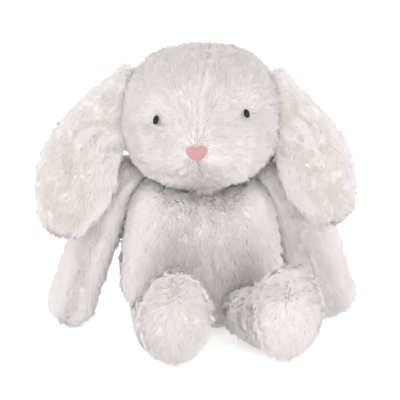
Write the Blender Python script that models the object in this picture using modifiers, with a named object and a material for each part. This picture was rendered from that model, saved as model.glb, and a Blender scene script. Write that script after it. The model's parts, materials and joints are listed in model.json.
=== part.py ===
"""A seated lop-eared plush bunny: sewn fur-fabric panels around separate fillings.

Metres, +Z up. The origin is the middle of the flat seat, on the surface that the toy sits on.
The face looks along -Y, and "left" pieces are those at -X.
"""

import math

import bmesh
import bpy
from mathutils import Euler, Matrix, Vector
from mathutils.bvhtree import BVHTree

# Cloth and clearances
MERGE = 1e-6               # points closer than this are one
FUR_WALL = 0.0055          # fur fabric of the body: knitted backing and its pressed pile
SEAM_GAP = 0.0003          # between the edges of two panels
FILL_GAP = 0.0004          # between a panel and the filling behind it
JOINT_GAP = 0.0006         # between a limb's round end and what it is sewn to

# Torso: an egg with a flat seat
TORSO_HALF_WIDTH = 0.060
TORSO_HALF_DEPTH = 0.050
TORSO_WAIST_Z = 0.048      # height of the widest level
TORSO_RISE = 0.0600        # from the widest level up to the neck
TORSO_DROP = 0.056         # from the widest level down, before the seat is flattened
TORSO_SQUARENESS = 2.55
SHOULDER_SQUARENESS = 3.5   # of the outline above the widest level
TORSO_Y = 0.004
TORSO_TURN = math.radians(6)
SEAT_SEAM_Z = 0.013        # height of the seam round the seat panel
BEAN_LEVEL_Z = 0.026       # top of the bean bag in the seat

# Neck
NECK_RADIUS = 0.018
NECK_Z = 0.1115
NECK_Y = 0.002

# Head
HEAD_HALF_WIDTH = 0.061
HEAD_HALF_DEPTH = 0.054
HEAD_HALF_HEIGHT = 0.0550
HEAD_SQUARENESS = 2.35
HEAD_Y = -0.012
HEAD_ABOVE_NECK = 0.0530   # centre of the head above the neck's pivot
HEAD_ROLL = math.radians(-4)
HEAD_YAW = math.radians(-4)
FACE_SEAM_Y = 0.004        # the ear-to-ear seam, behind the head's middle
MUZZLE_BULGE = 0.006
MUZZLE_SPREAD = 0.024
MUZZLE_Z = -0.0145         # from the head's centre

# Eyes
EYE_RADIUS = 0.0040
EYE_DOME = 0.0030
EYE_SPACING = 0.069        # from eye to eye
EYE_SHIFT = 0.0042         # of the pair to one side of the forehead seam
EYE_Z = 0.0093             # from the head's centre
EYE_SINK = 0.0022          # the bead's rim below the tips of the pile
STEM_RADIUS = 0.0014
WASHER_RADIUS = 0.0055
WASHER_THICKNESS = 0.0014
EYE_GAP = 0.0003
RIM_DROP = 0.0008          # depth of the bead's rim
FLANGE_DROP = 0.0004       # from the rim in to the stem
STEM_TAIL = 0.0010         # stem beyond the washer
POCKET_DEPTH = 0.0020      # filling left out behind the washer
TURN_STEPS = 16

# Nose and mouth
NOSE_WIDTH = 0.0160
NOSE_HEIGHT = 0.0105
NOSE_THICKNESS = 0.0036
NOSE_Z = -0.0135
NOSE_PROUD = 0.0008        # the pad's middle in front of the pile
THREAD_RADIUS = 0.0007
MOUTH_LENGTH = 0.0110
MOUTH_DROP = 0.0022        # from the nose to the stitch
MOUTH_STEPS = 5

# Ears: half widths and the middle line, from the root down, x outwards
EAR_ROOT_RADIUS = 0.010
EAR_HALF_THICKNESS = 0.0065
EAR_LINE = ((0.000, 0.000, 0.000), (0.0150, -0.006, -0.026), (0.0235, -0.013, -0.053),
            (0.0265, -0.018, -0.077), (0.0275, -0.020, -0.091))
EAR_HALF_WIDTHS = (0.010, 0.0175, 0.0270, 0.0295, 0.0265)
EAR_TIP_LENGTH = 0.0240
EAR_ROOT_ANGLE = math.radians(20)   # where the root sits on the head, above its middle
EAR_ROOT_Y = -0.002                 # from the head's centre
EAR_SWING = {"left": math.radians(0), "right": math.radians(-3)}

# Arms
ARM_ROOT_RADIUS = 0.0205
ARM_RADIUS = 0.0195
ARM_HALF_DEPTH = 0.0180
ARM_LENGTH = 0.0825        # shoulder pivot to the hand's middle
ARM_SHOULDER_Z = 0.098
ARM_Y = 0.010
ARM_SPREAD = {"left": math.radians(16), "right": math.radians(20)}
ARM_BACK = {"left": math.radians(-12), "right": math.radians(8)}

# Legs
HIP_RADIUS = 0.0225
HIP_X = 0.034
HIP_Z = 0.0236
ANKLE_RADIUS = 0.0215
ANKLE_AT = 0.022           # from the hip pivot
FOOT_AT = 0.052
FOOT_HALF_WIDTH = 0.0305
FOOT_HALF_HEIGHT = 0.0375
SOLE_BULGE = 0.0160
HEEL_RISE = 0.6            # share of the foot's rise at the heel
HEEL_SWELL = 0.0020        # the heel's radius beyond the mean of ankle and foot
FLOOR_GAP = 0.0005
LEG_TURN = {"left": math.radians(8), "right": math.radians(24)}   # towards +X

# Tail
TAIL_RADIUS = 0.0165
TAIL_Z = 0.030
TAIL_WALL = 0.0050
TAIL_MOUTH = 0.0070        # half the side of the opening that meets the torso

CREAM = (0.87, 0.84, 0.80)
SIDES = {"left": -1, "right": 1}


def clear_scene():
    for item in list(bpy.data.objects):
        bpy.data.objects.remove(item, do_unlink=True)


def new_collection(name):
    collection = bpy.data.collections.new(name)
    bpy.context.scene.collection.children.link(collection)
    return collection


def new_material(name, colour, roughness):
    material = bpy.data.materials.new(name)
    material.use_nodes = True
    shader = material.node_tree.nodes["Principled BSDF"]
    shader.inputs["Base Color"].default_value = (*colour, 1.0)
    shader.inputs["Roughness"].default_value = roughness
    shader.inputs["Metallic"].default_value = 0.0
    return material


def new_empty(name, location, parent=None, rotation=(0.0, 0.0, 0.0)):
    empty = bpy.data.objects.new(name, None)
    empty.empty_display_size = 0.01
    empty.location = location
    empty.rotation_euler = rotation
    empty.parent = parent
    PARTS.objects.link(empty)
    bpy.context.view_layer.update()
    return empty


def mesh_from(bm, name):
    mesh = bpy.data.meshes.new(name)
    bm.to_mesh(mesh)
    bm.free()
    mesh.shade_smooth()
    mesh.set_sharp_from_angle(angle=math.radians(40))
    return mesh


def place(name, mesh, parent, material):
    piece = bpy.data.objects.new(name, mesh)
    piece.parent = parent
    mesh.materials.clear()
    mesh.materials.append(material)
    PARTS.objects.link(piece)
    return piece


def cutter(name, mesh, parent=None, location=(0.0, 0.0, 0.0)):
    tool = bpy.data.objects.new(name, mesh)
    tool.parent = parent
    tool.location = location
    tool.hide_render = True
    tool.display_type = "WIRE"
    CUTTERS.objects.link(tool)
    return tool


def cut(piece, operation, tool, solver="EXACT"):
    modifier = piece.modifiers.new(f"{operation.lower()} {tool.name}", "BOOLEAN")
    modifier.operation = operation
    modifier.object = tool
    modifier.solver = solver


def line_wall(piece, thickness):
    wall = piece.modifiers.new("fabric wall", "SOLIDIFY")
    wall.thickness = thickness
    wall.offset = -1.0
    wall.use_even_offset = False


def shrink(piece, distance):
    inset = piece.modifiers.new("inset behind the fabric", "DISPLACE")
    inset.direction = "NORMAL"
    inset.mid_level = 0.0
    inset.strength = -distance


def box_mesh(name, low, high):
    bm = bmesh.new()
    bmesh.ops.create_cube(bm, size=1.0)
    low, high = Vector(low), Vector(high)
    for vertex in bm.verts:
        vertex.co = Vector((low[i] + (vertex.co[i] + 0.5) * (high[i] - low[i]) for i in range(3)))
    return mesh_from(bm, name)


def ball_mesh(name, radius, segments=20, rings=12):
    bm = bmesh.new()
    bmesh.ops.create_uvsphere(bm, u_segments=segments, v_segments=rings, radius=radius)
    return mesh_from(bm, name)


def squared(direction, power):
    """A unit direction pushed out to a superellipsoid of that power."""
    total = sum(abs(part) ** power for part in direction)
    return direction * total ** (-1.0 / power)


def world_tree(mesh, matrix):
    points = [matrix @ vertex.co for vertex in mesh.vertices]
    return BVHTree.FromPolygons(points, [list(face.vertices) for face in mesh.polygons])


def clearance(tree, point):
    """Distance from a point to a form, negative inside it."""
    nearest, normal, _, distance = tree.find_nearest(point)
    return distance if (point - nearest).dot(normal) > 0 else -distance


def first_clear(is_clear, near, far):
    """The smallest value between near and far that is clear, where every larger one is too."""
    for _ in range(24):
        middle = (near + far) / 2
        if is_clear(middle):
            far = middle
        else:
            near = middle
    return far


def stand_off(tree, start, direction, radius):
    """The first point from start along direction where a ball of this radius clears the form."""
    return start + direction * first_clear(
        lambda reach: clearance(tree, start + direction * reach) >= radius, 0.0, 0.3)


def rest_angle(tree, form, pivot, least, turn_for):
    """The least turn at which a limb hanging from its pivot clears what it lies against."""
    corners = [vertex.co for vertex in form.vertices]
    points = corners + [(corners[a] + corners[b]) / 2 for a, b in form.edge_keys]
    points += [face.center for face in form.polygons]

    def is_clear(angle):
        turn = turn_for(angle)
        return all(clearance(tree, pivot + turn @ point) >= JOINT_GAP for point in points)

    return least if is_clear(least) else first_clear(is_clear, least, math.radians(80))


def torso_form():
    bm = bmesh.new()
    bmesh.ops.create_uvsphere(bm, u_segments=24, v_segments=14, radius=1.0)
    for vertex in bm.verts:
        flat = Vector((vertex.co.x, vertex.co.y, 0.0))
        plan = squared(flat, TORSO_SQUARENESS) if flat.length > MERGE else flat
        rising = vertex.co.z > 0
        side = Vector((flat.length, 0.0, vertex.co.z))
        level = squared(side, SHOULDER_SQUARENESS if rising else TORSO_SQUARENESS)
        height = TORSO_WAIST_Z + level.z * (TORSO_RISE if rising else TORSO_DROP)
        vertex.co = Vector((plan.x * level.x * TORSO_HALF_WIDTH, plan.y * level.x * TORSO_HALF_DEPTH,
                            max(0.0, height)))
    return mesh_from(bm, "torso form")


def head_form():
    bm = bmesh.new()
    bmesh.ops.create_uvsphere(bm, u_segments=24, v_segments=14, radius=1.0)
    for vertex in bm.verts:
        p = squared(vertex.co.normalized(), HEAD_SQUARENESS)
        vertex.co = Vector((p.x * HEAD_HALF_WIDTH, p.y * HEAD_HALF_DEPTH, p.z * HEAD_HALF_HEIGHT))
        if vertex.co.y < 0:
            aside = math.hypot(vertex.co.x, vertex.co.z - MUZZLE_Z) / MUZZLE_SPREAD
            vertex.co.y -= MUZZLE_BULGE * math.exp(-aside * aside) * -p.y
    return mesh_from(bm, "head form")


def along(points, share):
    """A point or number on the smooth curve through evenly shared stations."""
    spans = len(points) - 1
    index = min(int(share * spans), spans - 1)
    t = share * spans - index
    a, b = points[max(index - 1, 0)], points[index]
    c, d = points[index + 1], points[min(index + 2, spans)]
    return 0.5 * ((b + b) + (c - a) * t + (a + a - b * 5 + c * 4 - d) * t ** 2
                  + (b * 3 - a - c * 3 + d) * t ** 3)


def swept_form(name, line, widths, depths, root, tip, depth_axis, segments, rings, half=0):
    """A closed form of oval sections along a line, with a round end at each end.

    half = 1 or -1 keeps only that side of the middle surface, flat where the other side was.
    """
    line = [Vector(point) for point in line]
    cap = 4
    bm = bmesh.new()
    bmesh.ops.create_uvsphere(bm, u_segments=segments, v_segments=rings + 2 * cap, radius=1.0)
    last = rings + 2 * cap
    for vertex in bm.verts:
        unit = vertex.co.normalized()
        ring = last - round(math.acos(max(-1.0, min(1.0, unit.z))) / math.pi * last)
        turn = math.atan2(unit.y, unit.x)
        share = min(max((ring - cap) / rings, 0.0), 1.0)
        before, after = along(line, max(share - 0.02, 0.0)), along(line, min(share + 0.02, 1.0))
        tangent = (after - before).normalized()
        centre, scale = along(line, share), 1.0
        if ring < cap:
            angle = ring / cap * math.pi / 2
            centre = centre - tangent * root * math.cos(angle)
            scale = math.sin(angle)
        elif ring > last - cap:
            angle = (last - ring) / cap * math.pi / 2
            centre = centre + tangent * tip * math.cos(angle)
            scale = math.sin(angle)
        deep = (depth_axis - tangent * depth_axis.dot(tangent)).normalized()
        wide = deep.cross(tangent)
        across = math.cos(turn) * along(widths, share) * scale
        through = math.sin(turn) * along(depths, share) * scale
        if half:
            through = half * max(half * through, 0.0) + half * SEAM_GAP / 2
        vertex.co = centre + wide * across + deep * through
    bmesh.ops.remove_doubles(bm, verts=bm.verts, dist=MERGE)
    return mesh_from(bm, name)


def half_spaces(label, parent, reach, gap):
    """Two cutters either side of the parent's own YZ plane, half a gap off it."""
    plus = box_mesh(f"{label} plus side", (gap / 2, -reach, -reach), (reach, reach, reach))
    minus = box_mesh(f"{label} minus side", (-reach, -reach, -reach), (-gap / 2, reach, reach))
    return {1: cutter(f"{label}_plus", plus, parent), -1: cutter(f"{label}_minus", minus, parent)}


def quarter(label, parent, x_side, y_side, seam_y, low_z, high_z):
    reach, edge = 0.12, SEAM_GAP / 2
    xs = (edge, reach) if x_side > 0 else (-reach, -edge)
    ys = (seam_y + edge, reach) if y_side > 0 else (-reach, seam_y - edge)
    mesh = box_mesh(label, (xs[0], ys[0], low_z), (xs[1], ys[1], high_z))
    return cutter(label.replace(" ", "_"), mesh, parent)


def make_torso(fur, filling, beans):
    frame = new_empty("torso_frame", (0.0, TORSO_Y, 0.0), rotation=(0.0, 0.0, TORSO_TURN))
    form = torso_form()
    neck_seat = cutter("neck_seat", ball_mesh("neck seat", NECK_RADIUS + FILL_GAP),
                       location=(0.0, NECK_Y, NECK_Z))
    for y_side, where in ((-1, "front"), (1, "back")):
        for side, x_side in SIDES.items():
            panel = place(f"torso_{where}_{side}", form.copy(), frame, fur)
            line_wall(panel, FUR_WALL)
            cut(panel, "INTERSECT", quarter(f"torso {where} {side} pattern", frame, x_side, y_side,
                                            0.0, SEAT_SEAM_Z + SEAM_GAP / 2, 0.2))
            cut(panel, "DIFFERENCE", neck_seat)
    seat = place("seat_panel", form.copy(), frame, fur)
    line_wall(seat, FUR_WALL)
    below = box_mesh("seat pattern", (-0.1, -0.1, -0.1), (0.1, 0.1, SEAT_SEAM_Z - SEAM_GAP / 2))
    cut(seat, "INTERSECT", cutter("seat_pattern", below, frame))

    stuffing = place("torso_stuffing", form.copy(), frame, filling)
    shrink(stuffing, FUR_WALL + FILL_GAP)
    upper = box_mesh("stuffing level", (-0.1, -0.1, BEAN_LEVEL_Z + FILL_GAP), (0.1, 0.1, 0.2))
    cut(stuffing, "INTERSECT", cutter("stuffing_level", upper, frame))
    cut(stuffing, "DIFFERENCE", neck_seat)

    bag = place("seat_bean_bag", form.copy(), frame, beans)
    shrink(bag, FUR_WALL + FILL_GAP)
    lower = box_mesh("bean level", (-0.1, -0.1, -0.1), (0.1, 0.1, BEAN_LEVEL_Z))
    cut(bag, "INTERSECT", cutter("bean_level", lower, frame))
    return world_tree(form, frame.matrix_world), frame


def make_neck(filling):
    pivot = new_empty("neck_pivot", (0.0, NECK_Y, NECK_Z))
    place("neck_stuffing", ball_mesh("neck", NECK_RADIUS), pivot, filling)
    return pivot


def profile_mesh(name, profile, closed=False):
    """A line of (radius, height) points at +X, listed top to bottom."""
    bm = bmesh.new()
    points = [bm.verts.new((radius, 0.0, height)) for radius, height in profile]
    ends = points[1:] + points[:1] if closed else points[1:]
    for first, second in zip(points, ends):
        bm.edges.new((first, second))
    return mesh_from(bm, name)


def turned(piece):
    """The piece's profile turned once round its own Z."""
    screw = piece.modifiers.new("turn", "SCREW")
    screw.axis = "Z"
    screw.angle = 2 * math.pi
    screw.steps = TURN_STEPS
    screw.render_steps = TURN_STEPS
    screw.use_merge_vertices = True
    screw.merge_threshold = MERGE
    return piece


def eye_profile(grow):
    """Dome, rim, stem and washer pocket; grow = 0 gives the bead without the pocket."""
    steps = 4
    dome = [((EYE_RADIUS + grow) * math.sin(a * math.pi / 2 / steps),
             (EYE_DOME + grow) * math.cos(a * math.pi / 2 / steps)) for a in range(steps + 1)]
    dome[0] = (0.0, EYE_DOME + grow)
    washer_top = -(FUR_WALL - EYE_SINK + FILL_GAP)
    stem = STEM_RADIUS + grow
    bottom = washer_top - WASHER_THICKNESS - 2 * EYE_GAP
    rim = -RIM_DROP - grow
    under = [(EYE_RADIUS + grow, rim), (stem, rim - FLANGE_DROP)]
    if grow:
        wide = WASHER_RADIUS + EYE_GAP
        deep = bottom - POCKET_DEPTH
        under += [(stem, washer_top + EYE_GAP), (wide, washer_top + EYE_GAP), (wide, deep), (0.0, deep)]
    else:
        under += [(stem, bottom - STEM_TAIL), (0.0, bottom - STEM_TAIL)]
    return dome + under


def washer_profile():
    top = -(FUR_WALL - EYE_SINK + FILL_GAP)
    low, hole = top - WASHER_THICKNESS, STEM_RADIUS + EYE_GAP
    return [(WASHER_RADIUS, top), (WASHER_RADIUS, low), (hole, low), (hole, top)]


def meet(tree, matrix, x, z):
    """Where a line from the front meets the head, and the way out of it there."""
    origin = matrix @ Vector((x, -0.2, z))
    ahead = matrix.to_3x3() @ Vector((0.0, 1.0, 0.0))
    point, normal, _, _ = tree.ray_cast(origin, ahead)
    return point, normal


def facing(point, normal):
    """A world matrix at point with local Z along normal and local Y as near up as it can be."""
    up = Vector((0.0, 0.0, 1.0))
    side = up.cross(normal).normalized()
    top = normal.cross(side)
    return Matrix.Translation(point) @ Matrix((side, top, normal)).transposed().to_4x4()


def nose_mesh(grow):
    """A cushion-like rounded triangle, point down, with a small dip in its top edge."""
    bm = bmesh.new()
    bmesh.ops.create_uvsphere(bm, u_segments=20, v_segments=8, radius=1.0)
    for vertex in bm.verts:
        p = vertex.co.copy()
        turn = math.atan2(p.y, p.x)
        reach = 1.0 + 0.13 * math.sin(3 * turn) - 0.12 * math.exp(-((turn - math.pi / 2) / 0.35) ** 2)
        vertex.co = Vector((p.x * reach * (NOSE_WIDTH / 2 + grow), p.y * reach * (NOSE_HEIGHT / 2 + grow),
                            p.z * (NOSE_THICKNESS / 2 + grow)))
    return mesh_from(bm, "nose")


def put_at(piece, parent, matrix):
    piece.parent = parent
    piece.matrix_world = matrix


def make_head(neck, fur, filling, bead, washer_plastic, embroidery):
    frame = new_empty("head_frame", (0.0, HEAD_Y - NECK_Y, HEAD_ABOVE_NECK), neck,
                      (0.0, HEAD_ROLL, HEAD_YAW))
    matrix = frame.matrix_world.copy()
    form = head_form()
    tree = world_tree(form, matrix)
    recess = cutter("head_recess", ball_mesh("head recess", NECK_RADIUS + JOINT_GAP), neck)

    pockets = {}
    for side, x_side in SIDES.items():
        point, normal = meet(tree, matrix, EYE_SHIFT + x_side * EYE_SPACING / 2, EYE_Z)
        seat = facing(point - normal * EYE_SINK, normal)
        eye = turned(place(f"eye_{side}", profile_mesh("eye", eye_profile(0.0)), frame, bead))
        put_at(eye, frame, seat)
        ring = profile_mesh("washer", washer_profile(), closed=True)
        washer = turned(place(f"eye_washer_{side}", ring, frame, washer_plastic))
        put_at(washer, frame, seat)
        hollow = profile_mesh("eye pocket", eye_profile(EYE_GAP))
        pocket = turned(cutter(f"eye_pocket_{side}", hollow, frame))
        pocket.matrix_world = seat
        pockets[side] = pocket

    nose_point, nose_normal = meet(tree, matrix, 0.0, NOSE_Z)
    nose_place = facing(nose_point + nose_normal * NOSE_PROUD, nose_normal)
    nose = place("nose", nose_mesh(0.0), frame, embroidery)
    put_at(nose, frame, nose_place)
    nose_bed = cutter("nose_bed", nose_mesh(SEAM_GAP), frame)
    nose_bed.matrix_world = nose_place
    make_mouth(frame, matrix, tree, embroidery)

    for y_side, where in ((-1, "face"), (1, "head_back")):
        for side, x_side in SIDES.items():
            panel = place(f"{where}_{side}", form.copy(), frame, fur)
            line_wall(panel, FUR_WALL)
            cut(panel, "INTERSECT", quarter(f"{where} {side} pattern", frame, x_side, y_side,
                                            FACE_SEAM_Y, -0.1, 0.1))
            cut(panel, "DIFFERENCE", recess)
            if y_side < 0:
                cut(panel, "DIFFERENCE", pockets[side])
                cut(panel, "DIFFERENCE", nose_bed, "MANIFOLD")

    stuffing = place("head_stuffing", form.copy(), frame, filling)
    shrink(stuffing, FUR_WALL + FILL_GAP)
    cut(stuffing, "DIFFERENCE", recess)
    for pocket in pockets.values():
        cut(stuffing, "DIFFERENCE", pocket)
    return tree, frame


def make_mouth(frame, matrix, tree, embroidery):
    """A short upright stitch below the nose, lying on the pile."""
    top = NOSE_Z - NOSE_HEIGHT / 2 - MOUTH_DROP
    curve = bpy.data.curves.new("mouth thread", "CURVE")
    curve.dimensions = "3D"
    curve.bevel_depth = THREAD_RADIUS
    curve.bevel_resolution = 2
    curve.use_fill_caps = True
    spline = curve.splines.new("POLY")
    spline.points.add(MOUTH_STEPS - 1)
    inverse = matrix.inverted()
    for index in range(MOUTH_STEPS):
        height = top - MOUTH_LENGTH * index / (MOUTH_STEPS - 1)
        point, normal = meet(tree, matrix, 0.0, height)
        lifted = inverse @ (point + normal * (THREAD_RADIUS + 2 * SEAM_GAP))
        spline.points[index].co = (*lifted, 1.0)
    thread = bpy.data.objects.new("mouth_thread", curve)
    thread.parent = frame
    curve.materials.append(embroidery)
    PARTS.objects.link(thread)


def make_ears(head_tree, head_frame, neck, fur, lining):
    centre = head_frame.matrix_world.translation
    for side, x_side in SIDES.items():
        outward = Vector((x_side * math.cos(EAR_ROOT_ANGLE), 0.0, math.sin(EAR_ROOT_ANGLE)))
        start = centre + Vector((0.0, EAR_ROOT_Y, 0.0))
        inside = start + outward * HEAD_HALF_HEIGHT
        root = stand_off(head_tree, inside, outward, EAR_ROOT_RADIUS + JOINT_GAP)
        line = [(x_side * x, y, z) for x, y, z in EAR_LINE]
        depths = [EAR_HALF_THICKNESS] * len(EAR_LINE)
        forms = {half: swept_form("ear", line, EAR_HALF_WIDTHS, depths, EAR_ROOT_RADIUS,
                                  EAR_TIP_LENGTH, Vector((0.0, 1.0, 0.0)), 16, 7, half)
                 for half in (0, 1, -1)}
        swing = rest_angle(head_tree, forms[0], root, EAR_SWING[side],
                           lambda angle: Matrix.Rotation(-x_side * angle, 3, "Y"))
        pivot = new_empty(f"ear_{side}_pivot", root - neck.matrix_world.translation, neck,
                          (0.0, -x_side * swing, 0.0))
        place(f"ear_{side}_back", forms[1], pivot, fur)
        place(f"ear_{side}_lining", forms[-1], pivot, lining)


def make_arms(torso_tree, fur, filling):
    line = [(0.0, 0.0, 0.0), (0.0, 0.0, -ARM_LENGTH / 2), (0.0, 0.0, -ARM_LENGTH)]
    widths = [ARM_ROOT_RADIUS, ARM_RADIUS, ARM_RADIUS]
    depths = [ARM_ROOT_RADIUS, ARM_HALF_DEPTH, ARM_HALF_DEPTH]
    for side, x_side in SIDES.items():
        start = Vector((x_side * TORSO_HALF_WIDTH / 2, ARM_Y, ARM_SHOULDER_Z))
        shoulder = stand_off(torso_tree, start, Vector((x_side, 0.0, 0.0)), ARM_ROOT_RADIUS + JOINT_GAP)
        pivot = new_empty(f"arm_{side}_pivot", shoulder)
        form = swept_form("arm", line, widths, depths, ARM_ROOT_RADIUS, ARM_RADIUS,
                          Vector((0.0, 1.0, 0.0)), 14, 5)
        spread = rest_angle(
            torso_tree, form, shoulder, ARM_SPREAD[side],
            lambda angle: Euler((ARM_BACK[side], -x_side * angle, 0.0)).to_matrix())
        hang = new_empty(f"arm_{side}_hang", (0.0, 0.0, 0.0), pivot,
                         (ARM_BACK[side], -x_side * spread, 0.0))
        make_limb(f"arm_{side}", form, hang, x_side, fur, filling)


def make_limb(name, form, frame, x_side, fur, filling):
    """Two long panels with a seam down the middle, and the filling inside them."""
    sides = half_spaces(f"{name}_pattern", frame, 0.2, SEAM_GAP)
    for sign, where in ((x_side, "outer"), (-x_side, "inner")):
        panel = place(f"{name}_{where}", form.copy(), frame, fur)
        line_wall(panel, FUR_WALL)
        cut(panel, "INTERSECT", sides[sign])
    stuffing = place(f"{name}_stuffing", form.copy(), frame, filling)
    shrink(stuffing, FUR_WALL + FILL_GAP)


def make_legs(torso_tree, torso_frame, fur, filling):
    foot_rise = FOOT_HALF_HEIGHT + FLOOR_GAP - HIP_Z
    ankle_rise = ANKLE_RADIUS + FLOOR_GAP - HIP_Z
    heel = -(ANKLE_AT + FOOT_AT) / 2
    line = [(0.0, 0.0, 0.0), (0.0, -ANKLE_AT, ankle_rise), (0.0, heel, foot_rise * HEEL_RISE),
            (0.0, -FOOT_AT, foot_rise)]
    heel_width = (ANKLE_RADIUS + FOOT_HALF_WIDTH) / 2 + HEEL_SWELL
    heel_height = (ANKLE_RADIUS + FOOT_HALF_HEIGHT) / 2 + HEEL_SWELL
    widths = [HIP_RADIUS, ANKLE_RADIUS, heel_width, FOOT_HALF_WIDTH]
    heights = [HIP_RADIUS, ANKLE_RADIUS, heel_height, FOOT_HALF_HEIGHT]
    for side, x_side in SIDES.items():
        turn = torso_frame.matrix_world.to_3x3()
        start = torso_frame.matrix_world @ Vector((x_side * HIP_X, 0.0, HIP_Z))
        hip = stand_off(torso_tree, start, turn @ Vector((0.0, -1.0, 0.0)), HIP_RADIUS + JOINT_GAP)
        pivot = new_empty(f"leg_{side}_pivot", hip, rotation=(0.0, 0.0, LEG_TURN[side]))
        form = leg_form(line, widths, heights)
        make_limb(f"leg_{side}", form, pivot, x_side, fur, filling)


def leg_form(line, widths, heights):
    """Upright oval sections from the hip to the sole; the foot stands up in front of the ankle."""
    line = [Vector(point) for point in line]
    cap, rings = 4, 6
    last = rings + 2 * cap
    bm = bmesh.new()
    bmesh.ops.create_uvsphere(bm, u_segments=16, v_segments=last, radius=1.0)
    for vertex in bm.verts:
        unit = vertex.co.normalized()
        ring = last - round(math.acos(max(-1.0, min(1.0, unit.z))) / math.pi * last)
        turn = math.atan2(unit.y, unit.x)
        share = min(max((ring - cap) / rings, 0.0), 1.0)
        centre, scale = along(line, share), 1.0
        if ring < cap:
            angle = ring / cap * math.pi / 2
            centre = centre + Vector((0.0, HIP_RADIUS * math.cos(angle), 0.0))
            scale = math.sin(angle)
        elif ring > last - cap:
            angle = (last - ring) / cap * math.pi / 2
            centre = centre - Vector((0.0, SOLE_BULGE * math.cos(angle), 0.0))
            scale = math.sin(angle)
        vertex.co = centre + Vector((math.cos(turn) * along(widths, share) * scale, 0.0,
                                     math.sin(turn) * along(heights, share) * scale))
    return mesh_from(bm, "leg")


def make_tail(torso_tree, torso_frame, fur, filling):
    turn = torso_frame.matrix_world.to_3x3()
    start = torso_frame.matrix_world @ Vector((0.0, 0.0, TAIL_Z))
    middle = stand_off(torso_tree, start, turn @ Vector((0.0, 1.0, 0.0)), TAIL_RADIUS + FILL_GAP)
    frame = new_empty("tail_frame", middle, rotation=(0.0, 0.0, TORSO_TURN))
    cover = place("tail_cover", ball_mesh("tail", TAIL_RADIUS, 14, 9), frame, fur)
    line_wall(cover, TAIL_WALL)
    low, high = (-TAIL_MOUTH, -2 * TAIL_RADIUS, -TAIL_MOUTH), (TAIL_MOUTH, 0.0, TAIL_MOUTH)
    mouth = box_mesh("tail mouth", low, high)
    cut(cover, "DIFFERENCE", cutter("tail_mouth", mouth, frame))
    stuffing = place("tail_stuffing", ball_mesh("tail stuffing", TAIL_RADIUS, 14, 9), frame, filling)
    shrink(stuffing, TAIL_WALL + FILL_GAP)


clear_scene()
PARTS = new_collection("plush_bunny")
CUTTERS = new_collection("cutters")

fur_fabric = new_material("fur_fabric", CREAM, 0.95)
ear_lining = new_material("ear_lining", (0.86, 0.80, 0.77), 0.95)
polyester = new_material("polyester_filling", (0.93, 0.93, 0.93), 0.9)
bean_cloth = new_material("bean_bag_cloth", (0.75, 0.76, 0.78), 0.8)
black_bead = new_material("black_bead", (0.010, 0.009, 0.009), 0.12)
washer_nylon = new_material("washer_nylon", (0.80, 0.80, 0.78), 0.45)
pink_thread = new_material("pink_thread", (0.66, 0.36, 0.37), 0.6)

torso_surface, torso_place = make_torso(fur_fabric, polyester, bean_cloth)
neck_place = make_neck(polyester)
head_surface, head_place = make_head(neck_place, fur_fabric, polyester, black_bead, washer_nylon,
                                     pink_thread)
make_ears(head_surface, head_place, neck_place, fur_fabric, ear_lining)
make_arms(torso_surface, fur_fabric, polyester)
make_legs(torso_surface, torso_place, fur_fabric, polyester)
make_tail(torso_surface, torso_place, fur_fabric, polyester)
bpy.context.view_layer.update()
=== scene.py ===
import json
import math

import bmesh
import bpy
import numpy as np
from mathutils import Euler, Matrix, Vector


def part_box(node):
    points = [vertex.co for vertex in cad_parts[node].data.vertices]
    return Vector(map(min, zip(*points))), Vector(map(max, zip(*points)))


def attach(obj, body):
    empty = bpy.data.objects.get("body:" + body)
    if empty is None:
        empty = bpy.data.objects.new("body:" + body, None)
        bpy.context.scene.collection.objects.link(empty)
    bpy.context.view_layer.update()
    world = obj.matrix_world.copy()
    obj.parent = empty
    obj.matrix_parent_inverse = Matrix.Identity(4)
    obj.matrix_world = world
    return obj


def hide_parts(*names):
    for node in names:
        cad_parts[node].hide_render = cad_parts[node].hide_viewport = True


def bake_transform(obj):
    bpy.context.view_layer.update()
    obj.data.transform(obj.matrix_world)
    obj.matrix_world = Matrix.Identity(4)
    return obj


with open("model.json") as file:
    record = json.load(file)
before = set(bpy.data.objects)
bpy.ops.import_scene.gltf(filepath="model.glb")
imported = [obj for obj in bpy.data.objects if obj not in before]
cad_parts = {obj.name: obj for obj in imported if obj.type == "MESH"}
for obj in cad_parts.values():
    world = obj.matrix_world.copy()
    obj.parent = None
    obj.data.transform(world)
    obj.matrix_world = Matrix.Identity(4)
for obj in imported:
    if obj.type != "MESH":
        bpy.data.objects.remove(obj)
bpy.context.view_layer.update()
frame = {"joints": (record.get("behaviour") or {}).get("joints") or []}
jointPlace = {joint["name"]: np.array(joint["pos_m"]) for joint in frame["joints"]}
sides = {"left": -1, "right": 1}

view = {
    "elevation": 14.0,              # degrees above the floor
    "distance": 3.0,                # metres from the bunny
    "lens": 360.0,
    "aim": (-0.0008, 0.0, 0.0966),
}

studio = {
    "world": (1.52, 1.50, 1.51),    # light from all round
    "floor": (0.93, 0.93, 0.93),
    "floorGlow": 0.40,
    "floorSize": 6.0,
    "lamps": {                      # place, watts and size
        "key": ((-1.00, -1.20, 1.40), 3.5, 1.6),
        "front": ((0.10, -1.90, 0.45), 10.0, 2.0),
        "low": ((0.30, -1.50, 0.04), 6.0, 1.2),
    },
}


def addCamera():
    camera = bpy.data.cameras.new("camera")
    camera.lens = view["lens"]
    camera.sensor_width = 36.0
    camera.clip_start = 0.05
    camera.clip_end = 20.0
    holder = bpy.data.objects.new("camera", camera)
    lift = math.radians(view["elevation"])
    back = Vector((0.0, -math.cos(lift), math.sin(lift)))
    holder.location = Vector(view["aim"]) + back * view["distance"]
    holder.rotation_euler = (-back).to_track_quat("-Z", "Y").to_euler()
    bpy.context.scene.collection.objects.link(holder)
    bpy.context.scene.camera = holder


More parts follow.
